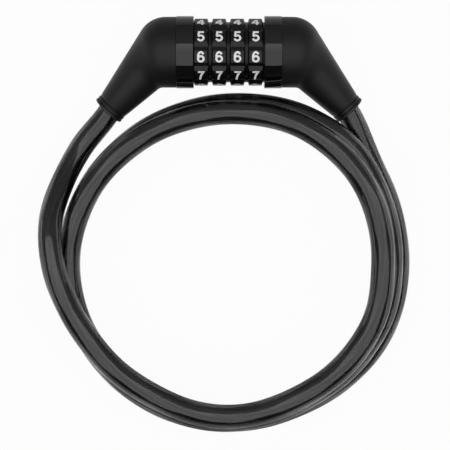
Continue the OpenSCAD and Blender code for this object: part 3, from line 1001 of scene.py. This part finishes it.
@dataclass
class Elbow(HeadPart):
    """One of the two hollow elbow housings, and the grommet in its end."""

    leg_exit: LegExit
    flange_x: float = 12.75
    collar_back: float = 17.45
    bend_x: float = 21.9
    spigot_d: float = 20.0
    spigot_bore: float = 16.0
    barrel_d: float = 23.5
    tip_d: float = 10.6
    lip_d: float = 10.9
    lip_w: float = 0.8
    groove_d: float = 10.0
    groove_w: float = 0.3
    leg_end: Triple = (-39.7345, -18.8225, 0.0)
    corner: float = 2.9
    wall: float = 1.6
    shoulder_x: float = 26.35
    shoulder_reach: float = 5.35
    bend_steps: int = 32
    leg_shares: tuple[float, ...] = (0.15, 0.3, 0.45, 0.6, 0.75, 0.9)
    cavity_share: float = 0.35
    sides: int = 112
    edge_round: float = 0.1
    sleeve_d: float = 9.4
    sleeve_l: float = 3.0
    guide_bore: float = 8.6
    guide_l: float = 9.2
    neck_d: float = 9.4
    neck_w: float = 0.4
    grommet_d: float = 11.0
    grommet_w: float = 0.8
    grommet_bore: float = 8.24
    grommet_round: float = 0.12

    def __post_init__(self) -> None:
        """Works out the corner's middle, and the shoulder that runs from the barrel to the lip."""
        self.angle, self.way = self.leg_exit.leg_angle, self.leg_exit.way
        self.corner_mid = Vector((-self.bend_x, -self.barrel_d / 2 - self.corner, 0))
        self.end_mid = Vector(self.leg_end)
        self.lip_mid = self.end_mid - self.way * self.lip_w
        self.knee = Vector((-self.shoulder_x, self.barrel_d / 2, 0))
        self.slope = (self.lip_mid - self.leg_exit.inward * self.tip_d / 2 - self.knee).normalized()
        half_turn = math.acos(-self.slope.x) / 2
        self.shoulder_r = self.shoulder_reach / math.tan(half_turn)
        self.shoulder_mid = self.knee + Vector((self.shoulder_reach, -self.shoulder_r, 0))

    def ray(self, f: float) -> Vector:
        """Gives the direction out of the corner at a share of the bend."""
        return Vector((-math.sin(self.angle * f), math.cos(self.angle * f), 0))

    def bend_d(self, f: float) -> float:
        """Gives the elbow's diameter at a share of its bend, from the corner to the rounded shoulder.

        Args:
            f: The share of the bend.

        Returns:
            The diameter.
        """
        ray = self.ray(f)
        to_mid = self.shoulder_mid - self.corner_mid
        near = to_mid.dot(ray)
        reach = near + math.sqrt(max(0.0, self.shoulder_r**2 - to_mid.length_squared + near**2))
        past = (self.corner_mid + ray * reach - self.knee).dot(self.slope)
        if past > self.shoulder_reach:
            across = Vector((self.slope.y, -self.slope.x, 0))
            reach = (self.knee - self.corner_mid).dot(across) / ray.dot(across)
        return reach - self.corner

    def ring(self, centre: Vector, tilt: float, diameter: float) -> Matrix:
        """Gives the frame of a round section of the elbow.

        Args:
            centre: The section's middle.
            tilt: How far it is tilted from square to the head's axis.
            diameter: Its diameter.

        Returns:
            The frame, scaled to the section's radius.
        """
        r = diameter / 2
        c, s = math.cos(tilt), math.sin(tilt)
        return frame_of(centre, Vector((-s, c, 0)) * r, Vector((0, 0, 1)) * r, Vector((c, s, 0)) * r)

    def on_axis(self, x: float, diameter: float) -> Matrix:
        """Gives a section's frame on the head's axis."""
        return self.ring(Vector((-x, 0, 0)), 0.0, diameter)

    def bend_centre(self, f: float) -> Vector:
        """Gives the middle of the section at a share of the bend."""
        return self.corner_mid + self.ray(f) * (self.corner + self.bend_d(f) / 2)

    def in_bend(self, f: float, less: float) -> Matrix:
        """Gives the section at a share of the bend, less a wall on each side."""
        return self.ring(self.bend_centre(f), self.angle * f, self.bend_d(f) - 2 * less)

    def on_leg(self, back: float, diameter: float) -> Matrix:
        """Gives the section at a distance back from the leg's end."""
        return self.ring(self.end_mid - self.way * back, self.angle, diameter)

    def along_leg(self, share: float, less: float) -> Matrix:
        """Gives the section at a share of the way from the bend to the lip, less a wall on each side."""
        diameter = self.bend_d(1.0) + (self.tip_d - self.bend_d(1.0)) * share
        return self.ring(self.bend_centre(1.0).lerp(self.lip_mid, share), self.angle, diameter - 2 * less)

    def tube(self, rings: list[Matrix], edge_round: float) -> Shape:
        """Makes a closed tube through rings, with its sharp edges rounded."""
        return softened(swept(circle(1, self.sides), [*rings, rings[0]], capped=False), edge_round)

    def shell(self) -> Shape:
        """Makes the housing.

        Returns:
            Its outside, its grooved end and its cavity.
        """
        shares = [k / self.bend_steps for k in range(self.bend_steps + 1)]
        groove, room_x = self.lip_w + self.groove_w, self.collar_back + self.wall
        barrel = (
            (self.flange_x, self.spigot_d), (self.collar_back, self.spigot_d),
            (self.collar_back, self.barrel_d), ((self.collar_back + self.bend_x) / 2, self.barrel_d),
        )
        end = (
            (groove, self.tip_d), (groove, self.groove_d), (self.lip_w, self.groove_d),
            (self.lip_w, self.lip_d), (0, self.lip_d), (0, self.sleeve_d), (self.sleeve_l, self.sleeve_d),
            (self.sleeve_l, self.guide_bore), (self.guide_l, self.guide_bore),
        )
        room = (
            (room_x, self.barrel_d - 2 * self.wall), (room_x, self.spigot_bore),
            (self.flange_x, self.spigot_bore),
        )
        rings = [
            *(self.on_axis(x, d) for x, d in barrel),
            *(self.in_bend(f, 0) for f in shares),
            *(self.along_leg(share, 0) for share in self.leg_shares),
            *(self.on_leg(back, d) for back, d in end),
            self.along_leg(self.cavity_share, self.wall),
            *(self.in_bend(f, self.wall) for f in reversed(shares)),
            *(self.on_axis(x, d) for x, d in room),
        ]
        return self.tube(rings, self.edge_round)

    def grommet(self) -> Shape:
        """Makes the grommet.

        Returns:
            Its sleeve, neck and flange.
        """
        flange, end = -self.neck_w, -self.neck_w - self.grommet_w
        outside = (
            (self.sleeve_l, self.neck_d), (flange, self.neck_d), (flange, self.grommet_d),
            (end, self.grommet_d),
        )
        rings = [self.on_leg(back, d) for back, d in outside]
        for back in (end, flange, self.sleeve_l / 2, self.sleeve_l):
            ring = self.on_leg(back, self.grommet_bore)
            ring.translation = self.leg_exit.point(back - end)
            rings.append(ring)
        return self.tube(rings, self.grommet_round)

    def build(self) -> None:
        """Makes the elbow and its grommet, and mounts them."""
        word = self.side.word
        self.fit(self.shell(), f"{word}_elbow_housing", Surface.ELBOW, "elbow_plastic", f"{word}_elbow")
        self.fit(self.grommet(), f"{word}_grommet_ring", Surface.GROMMET, "elbow_plastic", f"{word}_grommet")


@dataclass
class Collar(HeadPart):
    """A glossy collar, fitted over an elbow's spigot."""

    hole_d: float
    front: float = 11.75
    back: float = 17.45
    end_w: float = 1.0
    outer_d: float = 24.0
    spigot_d: float = 20.0
    steps: int = 160
    edge_round: float = 0.13

    def build(self) -> None:
        """Makes the collar and mounts it."""
        inner_x = -self.front - self.end_w
        profile = [
            (-self.back, self.outer_d / 2), (-self.front, self.outer_d / 2), (-self.front, self.hole_d / 2),
            (inner_x, self.hole_d / 2), (inner_x, self.spigot_d / 2), (-self.back, self.spigot_d / 2),
        ]
        shape = softened(lathed(profile, self.steps), self.edge_round)
        word = self.side.word
        self.fit(shape, f"{word}_collar_band", Surface.COLLAR, "collar_gloss", f"{word}_collar")


Stroke = tuple[list[Vector], bool]


@dataclass(frozen=True)
class Numerals:
    """Bold numerals drawn with a flat pen. Their strokes are written for a height of one.

    A stroke is its points, and whether it closes on itself.
    """

    height: float = 3.75
    pen: float = 0.178
    rise: float = 0.03
    rise_step: float = 0.002
    arc_step: float = 12.0
    line_step: float = 0.09

    def arc(self, cx: float, cy: float, rx: float, ry: float, start: float, end: float) -> list[Vector]:
        """Gives the points of an arc of an ellipse.

        Args:
            cx: Its middle across.
            cy: Its middle up.
            rx: Its half width.
            ry: Its half height.
            start: The angle in degrees where it starts.
            end: The angle where it ends, which may be less than the start.

        Returns:
            The points.
        """
        count = max(2, round(abs(end - start) / self.arc_step))
        turns = [math.radians(start + (end - start) * k / count) for k in range(count + 1)]
        return [Vector((cx + rx * math.cos(t), cy + ry * math.sin(t), 0)) for t in turns]

    def line(self, *corners: Pair) -> list[Vector]:
        """Gives the points of a line, close enough together to be bent.

        Args:
            *corners: The line's corners.

        Returns:
            The points.
        """
        points = [Vector((*corners[0], 0))]
        for corner in corners[1:]:
            start, end = points[-1], Vector((*corner, 0))
            count = max(1, round((end - start).length / self.line_step))
            points.extend(start.lerp(end, (k + 1) / count) for k in range(count))
        return points

    def bow(self, *sizes: float) -> Stroke:
        """Gives an open stroke along an arc."""
        return self.arc(*sizes), False

    def bar(self, *corners: Pair) -> Stroke:
        """Gives an open stroke along a line."""
        return self.line(*corners), False

    def loop(self, *sizes: float) -> Stroke:
        """Gives a closed stroke round an ellipse."""
        return self.arc(*sizes, 0, 360 - self.arc_step), True

    def strokes(self, number: int) -> list[Stroke]:
        """Gives a numeral's strokes.

        Args:
            number: The number, from 0 to 9.

        Returns:
            The strokes.
        """
        six = [self.loop(0, -0.175, 0.245, 0.236), self.bow(0.005, -0.01, 0.25, 0.421, 180, 34)]
        neck = self.arc(0, 0.17, 0.235, 0.241, 178, -32)
        return (
            [self.loop(0, 0, 0.24, 0.411)],
            [self.bar((0.08, -0.5), (0.08, 0.5)), self.bar((-0.2, 0.25), (0.06, 0.37))],
            [(neck + self.line((-0.2, -0.411), (0.28, -0.411)), False)],
            [
                self.bow(-0.01, 0.205, 0.215, 0.206, 168, -100),
                self.bow(-0.01, -0.193, 0.245, 0.218, 100, -168),
            ],
            [
                self.bar((0.12, -0.5), (0.12, 0.48)), self.bar((-0.335, -0.2), (0.33, -0.2)),
                self.bar((-0.27, -0.17), (0.08, 0.44)),
            ],
            [
                self.bar((0.265, 0.411), (-0.165, 0.411), (-0.21, -0.01)),
                self.bow(-0.005, -0.17, 0.247, 0.241, 148, -166),
            ],
            six,
            [self.bar((-0.27, 0.411), (0.215, 0.411), (0.06, 0.13), (-0.03, -0.15), (-0.08, -0.5))],
            [self.loop(0, 0.205, 0.21, 0.206), self.loop(0, -0.19, 0.245, 0.221)],
            [([-p for p in points], shut) for points, shut in six],
        )[number]

    def drawn(self, points: list[Vector], shut: bool, rise: float) -> Shape:
        """Draws one stroke as a flat band with mitred corners.

        Args:
            points: The stroke's points.
            shut: Whether it closes on itself.
            rise: How far it stands up, and reaches down.

        Returns:
            The band's shape.
        """
        last = len(points) - 1
        up = Vector((0, 0, rise))
        rings = []
        for i, p in enumerate(points):
            before = points[i - 1] if i or shut else p
            after = points[(i + 1) % (last + 1)] if i < last or shut else p
            ways = [w.normalized() for w in (p - before, after - p) if w.length > 1e-9]
            way = sum(ways, Vector((0, 0, 0))).normalized()
            side = Vector((-way.y, way.x, 0)) * self.pen / 2 / max(0.5, way.dot(ways[0]))
            one, other = (p + side) * self.height, (p - side) * self.height
            rings.append([one + up, other + up, other - up, one - up])
        if shut:
            rings.append(rings[0])
        return woven(rings, capped=not shut)

    def shape(self, number: int) -> Shape:
        """Makes a numeral that lies in the XY plane with its middle at the origin."""
        strokes = enumerate(self.strokes(number))
        return joined(self.drawn(*stroke, self.rise + self.rise_step * k) for k, stroke in strokes)


@dataclass
class Dials(HeadPart):
    """The four number dials and the spacers between them."""

    first_x: float = -9.25
    pitch: float = 6.0
    count: int = 4
    faces: int = 10
    width: float = 4.9
    outer_r: float = 11.1
    bore_r: float = 8.22
    flat_share: float = 0.57
    valley_depth: float = 0.8
    crown: float = 0.11
    crown_steps: int = 6
    bevel_w: float = 0.36
    bevel_depth: float = 0.9
    edge_round: float = 0.11
    edge_deg: float = 20.0
    first_number: int = 6
    numerals: Numerals = Numerals()
    spacer_w: float = 1.08
    spacer_r: float = 10.0
    spacer_round: float = 0.1
    spacer_steps: int = 128
    washer_w: float = 0.5
    core_r: float = 5.52

    def __post_init__(self) -> None:
        """Works out the sizes of a flat."""
        self.step = math.tau / self.faces
        self.half_flat = self.outer_r * math.sin(self.step / 2 * self.flat_share)
        self.flat_r = self.outer_r * math.cos(self.step / 2 * self.flat_share)
        self.crown_r = self.half_flat**2 / (2 * self.crown)

    def x_of(self, i: int) -> float:
        """Gives the middle of a dial along the axis."""
        return self.first_x + self.pitch * i

    def crowned(self, across: float) -> float:
        """Gives how high a flat's face is at a distance from its middle."""
        return self.flat_r + self.crown - across**2 / (2 * self.crown_r)

    def outline(self) -> list[Vector]:
        """Gives the outline across the axis.

        Returns:
            The points of ten crowned flats, with a valley after each.
        """
        half, valley = self.step / 2, self.outer_r - self.valley_depth
        shares = [1 - 2 * j / self.crown_steps for j in range(self.crown_steps + 1)]
        face = [Vector((0, self.half_flat * share, self.crowned(self.half_flat * share))) for share in shares]
        face.append(Vector((0, -valley * math.sin(half), valley * math.cos(half))))
        turns = [Matrix.Rotation(self.step * k, 3, "X") for k in range(self.faces)]
        return [turn @ p for turn in turns for p in face]

    def wheel(self, i: int) -> Shape:
        """Makes a dial with coned rims.

        Args:
            i: The dial's number, from 0 at the left.

        Returns:
            The dial's shape.
        """
        half, rim = self.width / 2, self.outer_r - self.bevel_depth
        side = Vector((half, 0, 0))
        ends, creases, bore = [], [], []
        for p in self.outline():
            back = self.bevel_w * (p.length - rim) / self.bevel_depth
            ends.append(p * (rim / p.length) + side)
            creases.append(p + Vector((half - back, 0, 0)))
            bore.append(p * (self.bore_r / p.length) + side)
        flip = Matrix.Scale(-1, 3, (1, 0, 0))
        left = [[flip @ p for p in ring] for ring in (bore, ends, creases)]
        shape = woven([*left, creases, ends, bore, left[0]], capped=False)
        softened(shape, self.edge_round, self.edge_deg)
        bmesh.ops.translate(shape, vec=(self.x_of(i), 0, 0), verts=shape.verts)
        return shape

    def numbers(self, i: int) -> Shape:
        """Makes a dial's ten printed numbers, which follow the crowned flats.

        Args:
            i: The dial's number, from 0 at the left.

        Returns:
            The numbers' shape.
        """
        made = []
        for k in range(self.faces):
            shape = self.numerals.shape((self.first_number + k) % self.faces)
            for v in shape.verts:
                v.co.z += self.crowned(v.co.y)
            turn = Matrix.Rotation(self.step * k, 4, "X")
            place = turn @ Matrix.Translation((self.x_of(i), 0, 0))
            bmesh.ops.transform(shape, matrix=place, verts=shape.verts)
            made.append(shape)
        return joined(made)

    def spacer(self, i: int, width: float) -> Shape:
        """Makes the spacer or the end washer after a dial.

        Args:
            i: The dial's number, from 0 at the left.
            width: The ring's width.

        Returns:
            Its shape.
        """
        start = self.x_of(i) + (self.pitch - self.spacer_w) / 2
        end = start + width
        profile = [(start, self.core_r), (start, self.spacer_r), (end, self.spacer_r), (end, self.core_r)]
        return softened(lathed(profile, self.spacer_steps), self.spacer_round)

    def build(self) -> None:
        """Makes the dials and their numbers, with a ring after each, and mounts them."""
        for i in range(self.count):
            dial, body = f"dial_{i + 1}", f"dial_body_{i + 1}"
            self.fit(self.wheel(i), f"{dial}_wheel", Surface.DIAL, "dial_plastic", dial, body=body)
            self.fit(self.numbers(i), f"{dial}_numbers", Surface.PRINT, "dial_plastic", body=body)
            ring, width = f"spacer_{i + 1}", self.spacer_w
            if i == self.count - 1:
                ring, width = "end_washer", self.washer_w
            self.fit(self.spacer(i, width), f"{ring}_ring", Surface.SPACER, "die_cast_metal", ring)


@dataclass
class LockWorks:
    """The inner parts, whose CAD solids keep their shapes and get their metals."""

    palette: Palette
    metals: ClassVar[dict[Surface, tuple[str, ...]]] = {
        Surface.CAST: ("left_anchor", "right_anchor", "lock_core"),
        Surface.STEEL: (
            "left_ferrule", "right_ferrule", "core_screw", "detent_springs", "detent_balls",
            "retaining_clip", "locking_pin",
        ),
        Surface.BRASS: ("code_ring_1", "code_ring_2", "code_ring_3", "code_ring_4"),
    }

    def build(self) -> None:
        """Dresses each node."""
        for surface, names in self.metals.items():
            for name in names:
                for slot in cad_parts[name].material_slots:
                    slot.material = self.palette[surface]
                LOG.info("%s: dressed with %s", name, surface.value.name)


# ---- Studio ----


@dataclass(frozen=True)
class Panel:
    """A soft rectangular light, whose glow is 1 for a white face."""

    name: str
    centre: Triple
    target: Triple
    size: Pair
    glow: float

    def build(self) -> None:
        """Makes the light."""
        data = bpy.data.lights.new(self.name, "AREA")
        data.shape = "RECTANGLE"
        data.size, data.size_y = self.size
        data.energy = self.glow * math.pi * data.size * data.size_y
        made = bpy.data.objects.new(self.name, data)
        made.location = self.centre
        made.rotation_euler = (Vector(self.target) - Vector(self.centre)).to_track_quat("-Z", "Y").to_euler()
        bpy.context.scene.collection.objects.link(made)


@dataclass(frozen=True)
class Studio:
    """The camera, the soft lights and the pale floor.

    What gloss and clear vinyl see of the floor is a painted reflection, an uneven glow that only they see. It
    has
    three whites: in front of the loops, round the head, and at the sides. They run into each other along Y
    and X, and fade behind the head and far out.
    """

    camera_xyz: Triple = (-0.0013333, -0.0521512, 0.5787)
    half_view: float = 0.075
    view_distance: float = 0.5667
    clip: Pair = (0.01, 10.0)
    panels: tuple[Panel, ...] = (
        Panel("overhead_panel", (0, -0.4, 1.1), (0, -0.4, 0), (2.5, 1.67), 1.3),
        Panel("side_panel_left", (-1.3, -0.06, 0.21), (0, -0.06, 0.15), (1.2, 0.36), 1.1),
        Panel("side_panel_right", (1.3, -0.06, 0.21), (0, -0.06, 0.15), (1.2, 0.36), 1.1),
    )
    wall_low: float = 0.22
    wall_high: float = 0.43
    wall_top: float = 0.87
    dark_side: float = 0.06
    dark_reach: Pair = (-0.1, 0.3)
    floor_near: float = 0.62
    floor_far: float = 0.5
    floor_roughness: float = 0.9
    camera_white: float = 0.96
    # The floor's glow for gloss and for clear vinyl, in front, round the head and at the sides: painted
    # reflection.
    painted_gloss_glow: Triple = (0.0, 0.4, 1.0)
    painted_clear_glow: Triple = (0.2, 0.5, 1.0)
    front_reach: Pair = (-0.085, -0.05)
    side_reach: Pair = (0.018, 0.05)
    back_reach: Pair = (0.02, 0.042)
    fade_reach: Pair = (0.115, 0.3)
    floor_xyz: Triple = (0, -0.05, -0.00002)
    floor_r: float = 4.0
    floor_sides: int = 96

    def camera(self) -> None:
        """Makes the camera, straight above the lock."""
        data = bpy.data.cameras.new("camera")
        data.angle = 2 * math.atan(self.half_view / self.view_distance)
        data.clip_start, data.clip_end = self.clip
        made = bpy.data.objects.new("camera", data)
        made.location = self.camera_xyz
        bpy.context.scene.collection.objects.link(made)
        bpy.context.scene.camera = made

    def lights(self) -> None:
        """Makes the panels, and dim surroundings that are darkest in front."""
        for panel in self.panels:
            panel.build()
        world = bpy.data.worlds.new("surroundings")
        world.use_nodes = True
        sky = Wiring(world.node_tree)
        way = sky.split(sky.node("TexCoord").outputs["Generated"])
        wall = sky.ramp(way["Z"], (0.0, self.wall_top), (self.wall_low, self.wall_high), smooth=False)
        behind = sky.ramp(way["Y"], self.dark_reach, (self.dark_side, wall))
        sky.feed(world.node_tree.nodes["Background"].inputs["Color"], behind)
        bpy.context.scene.world = world

    def faded(self, floor: Coat, near: float, far: float) -> Socket:
        """Adds a value that changes with the distance from the middle of the view.

        Args:
            floor: The floor's wiring.
            near: The value round the lock.
            far: The value far out.

        Returns:
            The value.
        """
        middle = (self.camera_xyz[0], self.camera_xyz[1], 0)
        apart = floor.node("VectorMath", {0: floor.place(), 1: middle}, operation="DISTANCE")
        return floor.ramp(apart.outputs["Value"], self.fade_reach, (near, far))

    def white(self, floor: Coat, front: float, middle: float, sides: float) -> Socket:
        """Adds the painted reflection that a kind of ray sees of the floor: a glow that changes with the
        place.

        Args:
            floor: The floor's wiring.
            front: The white in front of the loops.
            middle: The white round the head.
            sides: The white to the left and right.

        Returns:
            The value.
        """
        place = floor.split(floor.place())
        aside = floor.math("ABSOLUTE", floor.math("SUBTRACT", place["X"], self.camera_xyz[0]))
        along = floor.ramp(place["Y"], self.front_reach, (front, middle))
        seen = floor.ramp(aside, self.side_reach, (along, sides))
        behind = floor.ramp(place["Y"], self.back_reach, (1.0, 0.0))
        return floor.math("MULTIPLY", floor.math("MULTIPLY", seen, behind), self.faded(floor, 1.0, 0.0))

    def floor_material(self) -> bpy.types.Material:
        """Builds the floor's finish.

        Returns:
            A pale material that the camera sees as white, and whose uneven glow is a painted reflection for
            the gloss and the clear vinyl.
        """
        coat = Coat("pale_floor")
        coat.shade("Roughness", self.floor_roughness)
        coat.shade("Specular IOR Level", 0.0)
        coat.shade("Base Color", self.faded(coat, self.floor_near, self.floor_far))
        ray = coat.node("LightPath").outputs
        plain = coat.math("MULTIPLY", ray["Is Camera Ray"], self.camera_white)
        # Gloss and clear vinyl see an uneven glow on the floor: painted reflection.
        gloss = coat.math("MULTIPLY", ray["Is Glossy Ray"], self.white(coat, *self.painted_gloss_glow))
        clear = coat.math("MULTIPLY", ray["Is Transmission Ray"], self.white(coat, *self.painted_clear_glow))
        share = coat.math("MAXIMUM", coat.math("MAXIMUM", plain, gloss), clear)
        ends = {1: coat.shader.outputs[0], 2: coat.node("Emission").outputs[0]}
        coat.feed(coat.outward["Surface"], coat.node("MixShader", {"Fac": share, **ends}).outputs[0])
        return coat.material

    def floor(self) -> None:
        """Makes the floor."""
        shape = bmesh.new()
        bmesh.ops.create_circle(shape, cap_ends=True, segments=self.floor_sides, radius=self.floor_r)
        place = Matrix.Translation(self.floor_xyz)
        piece_of(shape, "floor", place, self.floor_material())


def main() -> None:
    """Builds the lock, piece by piece, and the studio round it."""
    logging.basicConfig(level=logging.INFO, format="%(name)s: %(message)s")
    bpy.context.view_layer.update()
    bpy.context.scene.view_settings.view_transform = "Standard"
    studio = Studio()
    studio.camera()
    place = HeadPlace.of_collar("left_collar")
    palette = mixed_palette()
    route = CableRoute(place)
    Cable(route, palette).build()
    Elbow(place, palette, Side.LEFT, route.left).build()
    Elbow(place, palette, Side.RIGHT, route.right).build()
    Collar(place, palette, Side.LEFT, hole_d=11.04).build()
    Collar(place, palette, Side.RIGHT, hole_d=15.24).build()
    Dials(place, palette, Side.LEFT).build()
    LockWorks(palette).build()
    studio.lights()
    studio.floor()


if __name__ == "__main__":
    main()
